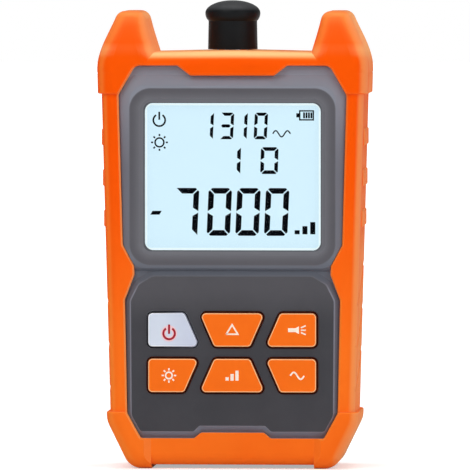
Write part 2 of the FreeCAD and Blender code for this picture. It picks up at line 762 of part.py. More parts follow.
def back_cover():
    shell = case_solid().common(box(-60, 60, SPLIT, CASE_BACK + 1, -10, 200))
    shell = shell.cut(plate(case_outline(SHELL_WALL), SPLIT - 1, BACK_CEILING))
    wall = BAY_WALL
    additions = [
        plate(moved(back_outline(), -LIP_CLEARANCE), CASE_BACK - 0.5, BACK_FACE),
        seam_ring(SPLIT - TONGUE_HEIGHT, SPLIT + 0.5, SHELL_WALL - TONGUE_THICK, SHELL_WALL),
        port_boss(SPLIT, BACK_CEILING + 0.5),
        box(-BAY_HALF - wall, BAY_HALF + wall, BAY_FLOOR - wall, BACK_CEILING + 0.5,
            BAY_BOTTOM - wall, BAY_TOP + wall),
    ]
    head_seat = BOARD_BACK + SCREW_GRIP
    well = SCREW_HEAD_RADIUS + SCREW_CLEARANCE
    for x, z in post_places(TOP_POST, LOW_POST):
        additions.append(rod(well + WELL_WALL, x, z, BOARD_BACK, BACK_CEILING + 0.5))
    shell = shell.fuse(additions)
    shell = shell.common(plate(case_outline(), BOARD_BACK - 1, BACK_FACE + 1))

    cuts = [box(-BAY_HALF, BAY_HALF, BAY_FLOOR, BACK_FACE + 5, BAY_BOTTOM, BAY_TOP)]
    for x, z in post_places(TOP_POST, LOW_POST):
        cuts.append(rod(PILOT_RADIUS + SCREW_CLEARANCE, x, z, BOARD_BACK - 1, head_seat + 1))
        cuts.append(rod(well, x, z, head_seat, BACK_FACE + 5))
    return shell.cut(cuts + door_recess() + wall_holes()).removeSplitter()


# ---------------------------------------------------------------- display stack
def display_window():
    return plate(rectangle(LENS_HALF, LENS_LOW, LENS_HIGH, 1.0), LENS_FRONT, LENS_BACK)


def display_gasket():
    outer = plate(rectangle(LENS_HALF, LENS_LOW, LENS_HIGH, 1.0), LENS_BACK, LCD_FRONT)
    window = rectangle(WINDOW_WIDTH / 2, WINDOW_BOTTOM, WINDOW_TOP, WINDOW_CORNER)
    return outer.cut(plate(window, LENS_BACK - 1, LCD_FRONT + 1))


def lcd_panel():
    return plate(rectangle(LENS_HALF, LENS_LOW, LENS_HIGH, 1.0), LCD_FRONT, LCD_BACK)


def backlight_panel():
    low = LENS_LOW + STRIP_HEIGHT
    return plate(rectangle(LENS_HALF, low, LENS_HIGH, 0.5), LCD_BACK, BOARD_FRONT)


def display_connector():
    """Conductive rubber strip between the glass and the board."""
    half = STRIP_WIDTH / 2
    return box(-half, half, LCD_BACK, BOARD_FRONT, LENS_LOW, LENS_LOW + STRIP_HEIGHT)


# ---------------------------------------------------------------- circuit board and keys
def main_board():
    board = plate(case_outline(SHELL_WALL + BOARD_GAP), BOARD_FRONT, BOARD_BACK)
    notch_low = INNER_TOP - BOARD_NOTCH_DEPTH
    half = BOARD_NOTCH_HALF
    cuts = [box(PORT_X - half, PORT_X + half, BOARD_FRONT - 1, BOARD_BACK + 1, notch_low, 200)]
    for x, z in post_places(TOP_POST, LOW_POST, MIDDLE_POST):
        cuts.append(rod(PILOT_RADIUS + SCREW_CLEARANCE, x, z, BOARD_FRONT - 1, BOARD_BACK + 1))
    return board.cut(cuts)


def key_cap(name):
    """Key with rounded face and a flange that keeps it behind the cover."""
    outline = key_outline(name)
    cap = plate(outline, KEY_FRONT, FLANGE_BACK)
    cap = cap.makeFillet(KEY_EDGE_ROUND, edges_at_depth(cap, KEY_FRONT))
    return joined(cap, plate(moved(outline, KEY_FLANGE), FLANGE_FRONT, FLANGE_BACK))


def switch_plunger(name):
    x, z = key_centre(name)
    return rod(PLUNGER_RADIUS, x, z, FLANGE_BACK, FLANGE_BACK + PLUNGER_LENGTH)


def key_switches():
    bodies = []
    half = SWITCH_SIZE / 2
    bore_end = FLANGE_BACK + PLUNGER_LENGTH + KEY_TRAVEL + 0.2
    for name in KEYS:
        x, z = key_centre(name)
        body = box(x - half, x + half, SWITCH_FRONT, BOARD_FRONT, z - half, z + half)
        bore = rod(PLUNGER_RADIUS + PLUNGER_CLEARANCE, x, z, SWITCH_FRONT - 1, bore_end)
        bodies.append(body.cut(bore))
    return Part.makeCompound(bodies)


def board_chips():
    """Processor and amplifier on the back of the board."""
    chips = []
    for x, z, size in (
        (0.0, ROW_LOW + PROCESSOR_RISE, PROCESSOR_SIZE),
        (AMPLIFIER_X, WINDOW_TOP - AMPLIFIER_DROP, AMPLIFIER_SIZE),
    ):
        half = size / 2
        chip = box(x - half, x + half, BOARD_BACK, BOARD_BACK + CHIP_HEIGHT, z - half, z + half)
        chips.append(chip.makeChamfer(0.2, edges_at_depth(chip, BOARD_BACK + CHIP_HEIGHT)))
    return Part.makeCompound(chips)


# ---------------------------------------------------------------- fasteners
def screw(x, z, head_seat):
    """Pan head screw driven towards the front."""
    head = rod(SCREW_HEAD_RADIUS, x, z, head_seat, head_seat + SCREW_HEAD_HEIGHT)
    head = head.makeFillet(0.5, edges_at_depth(head, head_seat + SCREW_HEAD_HEIGHT))
    slot_floor = head_seat + SCREW_HEAD_HEIGHT - 0.7
    for half_x, half_z in ((1.1, 0.25), (0.25, 1.1)):
        head = head.cut(box(x - half_x, x + half_x, slot_floor, slot_floor + 2, z - half_z, z + half_z))
    shank = rod(PILOT_RADIUS, x, z, BOARD_FRONT - PILOT_DEPTH + 0.4, head_seat)
    return joined(head, shank)


def housing_screws():
    seat = BOARD_BACK + SCREW_GRIP
    return Part.makeCompound([screw(x, z, seat) for x, z in post_places(TOP_POST, LOW_POST)])


def board_screws():
    return Part.makeCompound([screw(x, z, BOARD_BACK) for x, z in post_places(MIDDLE_POST)])


# ---------------------------------------------------------------- fibre port
def port_adapter():
    """Flanged barrel with the ferrule bore through its whole length."""
    bore = FERRULE_RADIUS
    flange_bottom = PORT_SEAT - PORT_FLANGE_THICK
    return turned([
        (bore, SPIGOT_BOTTOM),
        (SPIGOT_RADIUS, SPIGOT_BOTTOM),
        (SPIGOT_RADIUS, flange_bottom),
        (PORT_FLANGE_RADIUS, flange_bottom),
        (PORT_FLANGE_RADIUS, PORT_SEAT),
        (BARREL_RADIUS, PORT_SEAT),
        (BARREL_RADIUS, BARREL_TOP - BARREL_CHAMFER),
        (BARREL_RADIUS - BARREL_CHAMFER, BARREL_TOP),
        (bore + FERRULE_LEAD, BARREL_TOP),
        (bore, BARREL_TOP - FERRULE_LEAD),
    ], PORT_X, PORT_Y)


def port_nut():
    radius = NUT_ACROSS_FLATS / math.sqrt(3)
    points = []
    for i in range(7):
        angle = math.radians(60 * i)
        x = PORT_X + radius * math.cos(angle)
        y = PORT_Y + radius * math.sin(angle)
        points.append(Vector(x, y, NUT_BOTTOM))
    nut = Part.Face(Part.makePolygon(points)).extrude(Vector(0, 0, NUT_THICK))
    return nut.cut(pillar(BARREL_RADIUS, PORT_X, PORT_Y, NUT_BOTTOM - 1, NUT_BOTTOM + NUT_THICK + 1))


def detector_can():
    base_top = CAN_BOTTOM + CAN_BASE_THICK
    return turned([
        (0, CAN_BOTTOM),
        (CAN_BASE_RADIUS, CAN_BOTTOM),
        (CAN_BASE_RADIUS, base_top),
        (CAN_RADIUS, base_top),
        (CAN_RADIUS, CAN_TOP),
        (0, CAN_TOP),
    ], PORT_X, PORT_Y)


def detector_holder():
    """Sleeve that carries the detector can below the spigot of the port."""
    base_top = CAN_BOTTOM + CAN_BASE_THICK
    return turned([
        (CAN_BASE_RADIUS, CAN_BOTTOM),
        (HOLDER_RADIUS, CAN_BOTTOM),
        (HOLDER_RADIUS, SPIGOT_BOTTOM + HOLDER_OVERLAP),
        (SPIGOT_RADIUS, SPIGOT_BOTTOM + HOLDER_OVERLAP),
        (SPIGOT_RADIUS, SPIGOT_BOTTOM),
        (CAN_RADIUS, SPIGOT_BOTTOM),
        (CAN_RADIUS, base_top),
        (CAN_BASE_RADIUS, base_top),
    ], PORT_X, PORT_Y)


def detector_board():
    return pillar(HOLDER_RADIUS, PORT_X, PORT_Y, CAN_BOTTOM - DETECTOR_BOARD_THICK, CAN_BOTTOM)


def dust_cap():
    """Rubber cap with a domed head, open below and fitting over the barrel."""
    def point(radius, z):
        return Vector(PORT_X + radius, PORT_Y, z)

    neck = CAP_BOTTOM + CAP_SHANK
    brim = neck + CAP_BRIM
    waist = point(CAP_HEAD_RADIUS - 0.12, brim - CAP_BRIM * 0.45)
    dome = Part.Ellipse(point(CAP_HEAD_RADIUS, brim), point(0, CAP_TOP), point(0, brim))
    arc = Part.ArcOfEllipse(dome, 0, math.pi / 2 - CAP_POLE_FLAT / CAP_HEAD_RADIUS)
    edges = [
        Part.LineSegment(point(0, CAP_BOTTOM), point(CAP_RADIUS, CAP_BOTTOM)).toShape(),
        Part.LineSegment(point(CAP_RADIUS, CAP_BOTTOM), point(CAP_NECK_RADIUS, neck)).toShape(),
        Part.Arc(point(CAP_NECK_RADIUS, neck), waist, point(CAP_HEAD_RADIUS, brim)).toShape(),
        arc.toShape(),
        Part.LineSegment(arc.EndPoint, point(0, arc.EndPoint.z)).toShape(),
        Part.LineSegment(point(0, arc.EndPoint.z), point(0, CAP_BOTTOM)).toShape(),
    ]
    cap = Part.Face(Part.Wire(edges)).revolve(Vector(PORT_X, PORT_Y, 0), Vector(0, 0, 1), 360)
    hollow_top = BARREL_TOP + CAP_END_GAP
    hollow = pillar(BARREL_RADIUS + CAP_FIT, PORT_X, PORT_Y, CAP_BOTTOM - 1, hollow_top)
    return cap.cut(hollow)


# ---------------------------------------------------------------- torch lamp
def torch_led():
    """Round lamp whose dome ends inside the boot's hole."""
    top = CROWN_TOP - 0.6
    rim_top = INNER_TOP - 0.4
    body = pillar(TORCH_RADIUS, TORCH_X, PORT_Y, rim_top - TORCH_RIM_THICK, top - TORCH_RADIUS)
    dome = Part.makeSphere(TORCH_RADIUS, Vector(TORCH_X, PORT_Y, top - TORCH_RADIUS))
    rim = pillar(TORCH_RIM_RADIUS, TORCH_X, PORT_Y, rim_top - TORCH_RIM_THICK, rim_top)
    return joined(body, dome, rim)


def torch_leads():
    """Two leads from the lamp down and forward to the board."""
    top = INNER_TOP - 0.4 - TORCH_RIM_THICK
    half = TORCH_LEAD_SIZE / 2
    bend = top - 3.0
    leads = []
    for side in (1, -1):
        x = TORCH_X + side * TORCH_LEAD_PITCH / 2
        down = box(x - half, x + half, PORT_Y - half, PORT_Y + half, bend - half, top)
        forward = box(x - half, x + half, BOARD_BACK, PORT_Y - half, bend - half, bend + half)
        leads.append(joined(down, forward))
    return Part.makeCompound(leads)


# ---------------------------------------------------------------- batteries and door
def cell_x(index):
    return (index - (CELL_COUNT - 1) / 2) * CELL_PITCH


def battery_cell(index):
    """AAA cell; every second one stands on its head."""
    x = cell_x(index)
    low = BAY_BOTTOM + CONTACT_THICK
    upright = index % 2 == 0
    body_length = CELL_LENGTH - CELL_BUTTON
    if upright:
        low += LEAF_REACH
        body_low = low
        button_low = low + body_length
    else:
        body_low = low + CELL_BUTTON
        button_low = low
    body = pillar(CELL_RADIUS, x, CELL_Y, body_low, body_low + body_length)
    rims = edges_at_height(body, body_low) + edges_at_height(body, body_low + body_length)
    body = body.makeFillet(0.5, rims)
    button = pillar(CELL_BUTTON_RADIUS, x, CELL_Y, button_low, button_low + CELL_BUTTON)
    return joined(body, button)


def leaf(x, z, direction):
    """Bent contact spring that presses on the flat end of a cell."""
    reach = LEAF_REACH
    foot = 3.6
    profile = [
        (-foot, 0.0),
        (-0.8, reach),
        (0.8, reach),
        (foot, 0.0),
        (foot - 1.2 * LEAF_THICK, 0.0),
        (0.7, reach - LEAF_THICK),
        (-0.7, reach - LEAF_THICK),
        (-foot + 1.2 * LEAF_THICK, 0.0),
    ]
    points = [Vector(x - LEAF_WIDTH / 2, CELL_Y + y, z + direction * dz) for y, dz in profile]
    face = Part.Face(Part.makePolygon(points + points[:1]))
    return face.extrude(Vector(LEAF_WIDTH, 0, 0))


def battery_contacts(upper):
    """Contact plates at one end of the bay, with a leaf wherever a cell ends flat."""
    half = CONTACT_WIDTH / 2
    solids = []
    for index in range(CELL_COUNT):
        x = cell_x(index)
        if upper:
            z_low = BAY_TOP - CONTACT_THICK
        else:
            z_low = BAY_BOTTOM
        solid = box(x - half, x + half, CELL_Y - half, CELL_Y + half, z_low, z_low + CONTACT_THICK)
        flat_end_up = index % 2 == 1
        if upper and flat_end_up:
            solid = joined(solid, leaf(x, BAY_TOP - CONTACT_THICK, -1))
        if not upper and not flat_end_up:
            solid = joined(solid, leaf(x, BAY_BOTTOM + CONTACT_THICK, 1))
        solids.append(solid)
    return Part.makeCompound(solids)


def battery_door():
    inner = DOOR_INNER + DOOR_SEAT
    panel = plate(rectangle(DOOR_HALF, DOOR_BOTTOM, DOOR_TOP, DOOR_CORNER), inner, BACK_FACE)
    toe = [Vector(-60, BACK_FACE - DOOR_TOE_CHAMFER, DOOR_BOTTOM - 0.01),
           Vector(-60, BACK_FACE + 0.01, DOOR_BOTTOM - 0.01),
           Vector(-60, BACK_FACE + 0.01, DOOR_BOTTOM + DOOR_TOE_CHAMFER)]
    wedge = Part.Face(Part.makePolygon(toe + toe[:1])).extrude(Vector(120, 0, 0))
    panel = panel.cut(wedge)
    for i in range(DOOR_GRIP_COUNT):
        z = DOOR_TOP - 3.5 - i * DOOR_GRIP_PITCH
        groove = box(-DOOR_GRIP_HALF, DOOR_GRIP_HALF, BACK_FACE - DOOR_GRIP_DEPTH, BACK_FACE + 1,
                     z - DOOR_GRIP_DEPTH, z + DOOR_GRIP_DEPTH)
        panel = panel.cut(groove)
    tabs = []
    for side in (1, -1):
        x = side * DOOR_TAB_X
        half = DOOR_TAB_WIDTH / 2
        tabs.append(box(x - half, x + half, inner, inner + DOOR_TAB_THICK,
                        DOOR_BOTTOM - DOOR_TAB_REACH, DOOR_BOTTOM + 1))
    return joined(panel, *tabs)


# ---------------------------------------------------------------- export
def build():
    nodes = {
        "protective_boot": protective_boot(),
        "front_cover": front_cover(),
        "back_cover": back_cover(),
        "display_window": display_window(),
        "display_gasket": display_gasket(),
        "lcd_panel": lcd_panel(),
        "backlight_panel": backlight_panel(),
        "display_connector": display_connector(),
        "main_board": main_board(),
        "key_switches": key_switches(),
        "board_chips": board_chips(),
        "housing_screws": housing_screws(),
        "board_screws": board_screws(),
        "port_adapter": port_adapter(),
        "port_nut": port_nut(),
        "detector_can": detector_can(),
        "detector_holder": detector_holder(),
        "detector_board": detector_board(),
        "dust_cap": dust_cap(),
        "torch_led": torch_led(),
        "torch_leads": torch_leads(),
        "battery_contacts_upper": battery_contacts(True),
        "battery_contacts_lower": battery_contacts(False),
        "battery_door": battery_door(),
    }
    for name in KEYS:
        nodes["key_" + name] = key_cap(name)
        nodes["plunger_" + name] = switch_plunger(name)
    for index in range(CELL_COUNT):
        nodes["battery_cell_" + str(index + 1)] = battery_cell(index)
    os.makedirs("parts", exist_ok=True)
    for name, shape in nodes.items():
        shape.exportStep("parts/" + name + ".step")


build()
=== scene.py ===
"""Looks, light and camera for the handheld optical power meter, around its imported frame.

Metres, +Z up, +X to the right of the display, the display faces -Y. Artwork is drawn in
millimetres.
"""
import math

import bpy
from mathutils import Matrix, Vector


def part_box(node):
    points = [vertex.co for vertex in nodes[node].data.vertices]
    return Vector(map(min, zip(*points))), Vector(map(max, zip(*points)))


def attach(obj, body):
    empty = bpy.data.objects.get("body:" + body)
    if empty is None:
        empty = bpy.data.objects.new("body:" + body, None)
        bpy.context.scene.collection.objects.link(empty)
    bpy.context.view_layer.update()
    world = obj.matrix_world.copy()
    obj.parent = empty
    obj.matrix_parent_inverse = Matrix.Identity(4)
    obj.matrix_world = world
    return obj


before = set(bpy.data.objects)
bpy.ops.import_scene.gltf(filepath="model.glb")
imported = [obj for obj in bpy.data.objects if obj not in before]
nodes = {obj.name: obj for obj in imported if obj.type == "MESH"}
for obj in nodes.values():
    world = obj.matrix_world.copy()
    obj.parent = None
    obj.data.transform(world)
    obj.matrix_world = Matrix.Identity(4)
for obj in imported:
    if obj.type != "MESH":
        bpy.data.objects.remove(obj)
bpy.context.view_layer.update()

MM = 0.001
KEYS = ("power", "ref", "torch", "light", "db", "wavelength")

# ---------------------------------------------------------------- places on the object
window_low, window_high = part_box("display_window")
power_low, power_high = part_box("key_power")
wavelength_low, wavelength_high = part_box("key_wavelength")

# heights of the boot, whose horns rise above its crown
HORN_RISE = 10.2 * MM
BOOT_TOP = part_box("protective_boot")[1].z
CROWN_TOP = BOOT_TOP - HORN_RISE

# depths of the case: its foremost face, where its halves meet, and what lies near that face
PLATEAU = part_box("front_cover")[0].y
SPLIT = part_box("back_cover")[0].y
RAISED_DEPTH = 0.25 * MM
FACE_DEPTH = 4 * MM

# the key panel and the openings of its keys
PANEL_RISE = 8.7 * MM
PANEL_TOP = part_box("key_ref")[1].z + PANEL_RISE
PANEL_BELOW_KEYS = 3 * MM
OPENING_MARGIN = 0.9 * MM
WHITE_KEY_MARGIN = 0.7 * MM

# the display: its border, its window as seen, and what surrounds the window
BORDER_RISE = 3.3 * MM
FACE_MIDDLE = (window_low.z + window_high.z) / 2
FACE_TOP = window_high.z + BORDER_RISE
LENS_MARGIN = 1.2 * MM
LENS_CORNER = 1.7 * MM
BRINK_WIDTH = 0.18 * MM
LIP_WIDTH = 1.6 * MM
SURROUND_FADE = 3.4 * MM
SURROUND_WIDTH = 3.6 * MM
LCD_RIM = 0.75 * MM

# where masks, patches, changes of roughness and edges set in and where they are full
MASK_SOFTNESS = 0.15 * MM
PATCH_NONE = 0.35
PATCH_FULL = 0.7
ROUGH_FROM = 0.3
ROUGH_TO = 0.7
EDGE_NONE = 0.995
EDGE_FULL = 0.86


# ---------------------------------------------------------------- colour and material helpers
def srgb(red, green, blue):
    """Linear RGBA of a colour given as 0-255 display values."""
    def linear(value):
        share = value / 255.0
        return share / 12.92 if share <= 0.04045 else ((share + 0.055) / 1.055) ** 2.4
    return (linear(red), linear(green), linear(blue), 1.0)


class Finish:
    """A Principled material that is put together from a few procedural layers."""

    def __init__(self, name, colour, roughness, metallic=0.0, specular=0.5):
        self.material = bpy.data.materials.new(name)
        self.material.use_nodes = True
        self.tree = self.material.node_tree
        self.shader = self.tree.nodes["Principled BSDF"]
        self.shader.inputs["Base Color"].default_value = colour
        self.shader.inputs["Roughness"].default_value = roughness
        self.shader.inputs["Metallic"].default_value = metallic
        self.shader.inputs["Specular IOR Level"].default_value = specular
        self.material.diffuse_color = colour
        self.colour = colour

    def node(self, kind, **settings):
        made = self.tree.nodes.new(kind)
        for name, value in settings.items():
            setattr(made, name, value)
        return made

    def link(self, source, target):
        self.tree.links.new(source, target)

    def component(self, output, letter):
        """One component of a vector that the texture coordinates give."""
        split = self.node("ShaderNodeSeparateXYZ")
        self.link(self.node("ShaderNodeTexCoord").outputs[output], split.inputs[0])
        return split.outputs[letter]

    def axis(self, letter):
        """Place along one axis of the row frame, in metres."""
        return self.component("Object", letter)

    def facing(self, letter):
        """Component of the surface normal along one axis of the row frame."""
        return self.component("Normal", letter)

    def noise(self, scale, detail):
        """Noise that sticks to the part; a larger scale makes it finer."""
        texture = self.node("ShaderNodeTexNoise")
        texture.inputs["Scale"].default_value = scale
        texture.inputs["Detail"].default_value = detail
        self.link(self.node("ShaderNodeTexCoord").outputs["Object"], texture.inputs["Vector"])
        return texture.outputs["Fac"]

    def spread(self, source, low, high, out_low=0.0, out_high=1.0, smooth=False):
        """Source remapped from low..high to out_low..out_high and clamped."""
        mapper = self.node("ShaderNodeMapRange")
        mapper.interpolation_type = "SMOOTHSTEP" if smooth else "LINEAR"
        mapper.inputs["From Min"].default_value = low
        mapper.inputs["From Max"].default_value = high
        mapper.inputs["To Min"].default_value = out_low
        mapper.inputs["To Max"].default_value = out_high
        self.link(source, mapper.inputs["Value"])
        return mapper.outputs["Result"]

    def maths(self, operation, first, second):
        """Two sockets or numbers put together by a named operation."""
        made = self.node("ShaderNodeMath", operation=operation)
        for socket, value in zip(made.inputs, (first, second)):
            if isinstance(value, (int, float)):
                socket.default_value = value
            else:
                self.link(value, socket)
        return made.outputs[0]

    def product(self, first, *others):
        """Masks or numbers multiplied."""
        for other in others:
            first = self.maths("MULTIPLY", first, other)
        return first

    def absolute(self, source):
        """The size of a value without its sign."""
        return self.maths("ABSOLUTE", source, 0.0)

    def inverse(self, mask):
        """0 where a mask is 1, and the other way round."""
        return self.maths("SUBTRACT", 1.0, mask)

    def blend(self, first, second, mask):
        """The first colour, a tuple or a socket, turning into the second where the mask is 1."""
        mix = self.node("ShaderNodeMix", data_type="RGBA")
        if isinstance(first, tuple):
            mix.inputs["A"].default_value = first
        else:
            self.link(first, mix.inputs["A"])
        mix.inputs["B"].default_value = second
        self.link(mask, mix.inputs["Factor"])
        return mix.outputs["Result"]

    def tint(self, colour, mask):
        """Lays a colour over what is there, where the mask is 1."""
        self.colour = self.blend(self.colour, colour, mask)
        self.link(self.colour, self.shader.inputs["Base Color"])

    def mottle(self, colour, scale, share, detail=4.0):
        """Soft patches of a second colour."""
        self.tint(colour, self.spread(self.noise(scale, detail), PATCH_NONE, PATCH_FULL, 0.0, share))

    def rounding(self, full, none):
        """1 where the surface turns between two main directions, 0 on faces along them."""
        largest = 0.0
        for letter in "XYZ":
            largest = self.maths("MAXIMUM", self.absolute(self.facing(letter)), largest)
        return self.spread(largest, none, full, smooth=True)

    def edges(self, colour, radius, share, within=None):
        """Lays a colour along rounded and sharp edges, if asked only within a mask."""
        bevel = self.node("ShaderNodeBevel", samples=6)
        bevel.inputs["Radius"].default_value = radius
        geometry = self.node("ShaderNodeNewGeometry")
        dot = self.node("ShaderNodeVectorMath", operation="DOT_PRODUCT")
        self.link(bevel.outputs[0], dot.inputs[0])
        self.link(geometry.outputs["Normal"], dot.inputs[1])
        mask = self.spread(dot.outputs["Value"], EDGE_NONE, EDGE_FULL, 0.0, share)
        if within is not None:
            mask = self.product(mask, within)
        self.tint(colour, mask)

    def sheen(self, weight, roughness, tint):
        """Paleness at grazing angles."""
        self.shader.inputs["Sheen Weight"].default_value = weight
        self.shader.inputs["Sheen Roughness"].default_value = roughness
        self.shader.inputs["Sheen Tint"].default_value = tint

    def rough(self, scale, low, high):
        """Roughness that varies between two values."""
        value = self.spread(self.noise(scale, 4.0), ROUGH_FROM, ROUGH_TO, low, high)
        self.link(value, self.shader.inputs["Roughness"])

    def grain(self, scale, depth, strength):
        """Fine relief of the surface, depth in metres."""
        bump = self.node("ShaderNodeBump")
        bump.inputs["Strength"].default_value = strength
        bump.inputs["Distance"].default_value = depth
        self.link(self.noise(scale, 2.0), bump.inputs["Height"])
        self.link(bump.outputs["Normal"], self.shader.inputs["Normal"])


def box_mask(made, low, high):
    """1 inside a box of the row frame; None leaves a side open."""
    sides = []
    for letter, start, stop in zip("XYZ", low, high):
        for edge, soft in ((start, MASK_SOFTNESS), (stop, -MASK_SOFTNESS)):
            if edge is not None:
                sides.append(made.spread(made.axis(letter), edge - soft, edge + soft))
    return made.product(*sides)


def beyond_window(made, near, far):
    """0 at near and less from the window's rounded edge, 1 at far and more outside it."""
    squares = 0.0
    for letter, low, high in (("X", window_low.x, window_high.x), ("Z", window_low.z, window_high.z)):
        straight = (high - low) / 2 - LENS_MARGIN - LENS_CORNER
        away = made.absolute(made.maths("SUBTRACT", made.axis(letter), (low + high) / 2))
        past = made.maths("MAXIMUM", made.maths("SUBTRACT", away, straight), 0.0)
        squares = made.maths("ADD", made.maths("POWER", past, 2.0), squares)
    distance = made.maths("SUBTRACT", made.maths("POWER", squares, 0.5), LENS_CORNER)
    return made.spread(distance, near, far, smooth=True)


# ---------------------------------------------------------------- rubber of the boot
def boot_painted_top_highlight(made, height):
    """Mask of a painted highlight where the crown's top faces up, fainter where it is level and on the
    horns.
    """
    upwards = made.spread(made.facing("Z"), 0.1, 0.75, smooth=True)
    flat = made.spread(made.facing("Z"), 0.9, 0.995, 0.85, 0.68, smooth=True)
    crest = made.spread(height, CROWN_TOP - 2.4 * MM, CROWN_TOP - 0.9 * MM, smooth=True)
    horns = made.spread(height, CROWN_TOP + 0.1 * MM, CROWN_TOP + 2 * MM, 1.0, 0.12)
    return made.product(upwards, flat, made.product(crest, horns))


def boot_material():
    """Matte moulded rubber: deep orange, paler low down, with painted highlights along roundings, on
    slopes facing right, at the horn tops and on the crown's top.
    """
    made = Finish("boot_rubber", srgb(253, 87, 0), 0.6, specular=0.04)
    height = made.axis("Z")
    low_part = made.spread(height, 85 * MM, 15 * MM, smooth=True)
    made.tint(srgb(255, 120, 32), low_part)
    made.mottle(srgb(246, 82, 0), 45.0, 0.3)
    # Painted top light: the horns grow paler towards their tops.
    painted_tip_light = made.spread(height, BOOT_TOP - 4.5 * MM, BOOT_TOP, 0.0, 0.35, smooth=True)
    made.tint(srgb(255, 160, 84), painted_tip_light)
    # Painted highlight on roundings, weaker on those that face down.
    not_below = made.spread(made.facing("Z"), -0.7, -0.1, 0.1, 0.4)
    made.tint(srgb(255, 150, 62), made.product(made.rounding(0.74, 0.93), not_below))
    # Painted light on slopes that face right.
    sideways = made.facing("X")
    right = made.product(made.spread(sideways, 0.4, 0.9, 0.0, 0.5), made.spread(sideways, 1.0, 0.95))
    made.tint(srgb(255, 184, 124), right)
    # Painted highlight along the crown's top.
    made.tint(srgb(255, 206, 140), boot_painted_top_highlight(made, height))
    # Painted highlight along edges.
    made.edges(srgb(255, 158, 84), 0.8 * MM, 0.18)
    made.sheen(0.7, 0.25, srgb(255, 188, 122))
    made.rough(260.0, 0.54, 0.68)
    made.grain(4200.0, 0.02 * MM, 0.35)
    return made


# ---------------------------------------------------------------- plastic of the case
def border_tints(made, height, face):
    """The recessed border turns paler towards its top as painted top light, and darker from the key
    panel down.
    """
    # Painted top light on the upper border.
    upper = made.spread(height, FACE_MIDDLE, FACE_TOP, smooth=True)
    made.tint(srgb(134, 137, 148), made.product(face, upper))
    lower = made.spread(height, PANEL_TOP + 5 * MM, PANEL_TOP + 1.5 * MM)
    made.tint(srgb(92, 96, 106), made.product(face, lower))


def surround_tints(made, face, raised):
    """The display surround darkens outwards, and a dark line of painted shade runs along the window's
    recessed edge.
    """
    inside = made.inverse(beyond_window(made, SURROUND_WIDTH, SURROUND_WIDTH + 0.5 * MM))
    lip = made.inverse(beyond_window(made, LIP_WIDTH, LIP_WIDTH + 0.2 * MM))
    surround = made.maths("MAXIMUM", made.product(raised, inside), made.product(face, lip))
    made.tint(srgb(109, 109, 115), surround)
    outward = beyond_window(made, 0.0, SURROUND_FADE)
    made.tint(srgb(86, 85, 91), made.product(surround, outward))
    # Painted shade along the recessed edge of the window.
    shaded_brink = made.inverse(beyond_window(made, BRINK_WIDTH, BRINK_WIDTH + 0.12 * MM))
    made.tint(srgb(62, 66, 71), made.product(shaded_brink, face, 0.7))


def panel_tints(made, height, raised):
    """The key panel darkens downwards and has a painted highlight, a pale line on its rounded edge."""
    front = made.absolute(made.facing("Y"))
    panel = made.spread(height, PANEL_TOP + 0.4 * MM, PANEL_TOP)
    darker = made.spread(height, PANEL_TOP - 2 * MM, PANEL_TOP - 14 * MM, smooth=True)
    made.tint(srgb(77, 76, 81), made.product(raised, panel))
    made.tint(srgb(57, 57, 62), made.product(raised, darker))
    # Painted highlight on the panel's rounded edge.
    rim = made.product(raised, made.spread(front, 0.985, 0.93, 0.0, 0.85))
    fade = made.spread(height, PANEL_TOP - 1 * MM, PANEL_TOP - 4 * MM, 0.35, 1.0)
    made.tint(srgb(130, 134, 147), made.product(rim, panel, fade))


def lower_border_painted_light(made, height, face, raised):
    """The sunken border below the keys is a little paler and bluer, painted light that makes up for the
    boot's shade there.
    """
    edge = wavelength_low.z - PANEL_BELOW_KEYS
    sunken = made.product(made.inverse(raised), face)
    below = made.spread(height, edge, edge - 3 * MM)
    made.tint(srgb(116, 127, 143), made.product(below, sunken))


def opening_painted_shade(made):
    """Painted shade: dark brown lines round the openings of the orange keys, where the gaps lie in
    shade.
    """
    front = made.absolute(made.facing("Y"))
    white_key = box_mask(made, (None, None, power_low.z - WHITE_KEY_MARGIN),
                         (power_high.x + WHITE_KEY_MARGIN, None, None))
    keypad = box_mask(made, (power_low.x - OPENING_MARGIN, None, wavelength_low.z - OPENING_MARGIN),
                      (wavelength_high.x + OPENING_MARGIN, SPLIT, power_high.z + OPENING_MARGIN))
    openings = made.spread(made.maths("SUBTRACT", keypad, white_key), 0.0, 1.0)
    # Painted shade on the edges and walls of the key openings.
    made.edges(srgb(64, 20, 8), 0.45 * MM, 0.95, openings)
    made.tint(srgb(92, 28, 9), made.product(made.spread(front, 0.95, 0.85), openings))


def cover_material():
    """Grey plastic: pale recessed border, darker display surround, dark key panel, with painted light
    and shade on edges, border and openings.
    """
    made = Finish("cover_plastic", srgb(108, 111, 121), 0.55, specular=0.25)
    height = made.axis("Z")
    depth = made.axis("Y")
    face = made.spread(depth, PLATEAU + FACE_DEPTH + 1 * MM, PLATEAU + FACE_DEPTH)
    raised = made.spread(depth, PLATEAU + RAISED_DEPTH + 0.1 * MM, PLATEAU + RAISED_DEPTH)
    border_tints(made, height, face)
    surround_tints(made, face, raised)
    panel_tints(made, height, raised)
    made.mottle(srgb(112, 111, 117), 60.0, 0.08)
    # Painted highlight along edges.
    made.edges(srgb(136, 138, 146), 0.35 * MM, 0.35)
    lower_border_painted_light(made, height, face, raised)
    opening_painted_shade(made)
    made.rough(420.0, 0.50, 0.64)
    made.grain(5200.0, 0.015 * MM, 0.35)
    return made


